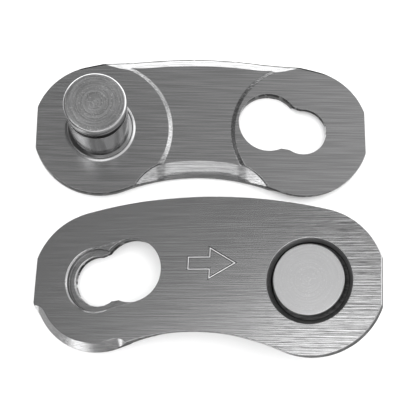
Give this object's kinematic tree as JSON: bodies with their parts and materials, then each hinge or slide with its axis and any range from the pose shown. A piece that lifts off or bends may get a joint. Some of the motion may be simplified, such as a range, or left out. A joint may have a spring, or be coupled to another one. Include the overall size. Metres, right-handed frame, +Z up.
{
  "type": "chain connecting link",
  "caption": "Curved steel outer plates for a bicycle chain, each with a riveted pin and a keyhole slot, which push together and slide to join the chain's ends.",
  "frame": {"origin": "centre of the two halves' bounding box, on the surface they lie on", "axes": "+Z up; +X along the plates, towards the end with the front pin; +Y from the front half to the back half"},
  "size_m": [0.0206, 0.0194, 0.0069],
  "materials": {
    "plate_steel": "brushed along the plate",
    "pin_steel": "turned"
  },
  "bodies": {
    "back_half": {"back_plate": "plate_steel", "back_pin": "pin_steel"},
    "front_half": {"front_plate": "plate_steel", "front_pin": "pin_steel"}
  },
  "joints": [
    {"name": "lock_turn", "type": "hinge", "parent": "back_half", "child": "front_half", "pos_m": [-0.00094, -0.02371, 0], "axis": [0, 0, -1], "range_deg": [0, 6.51]}
  ]
}
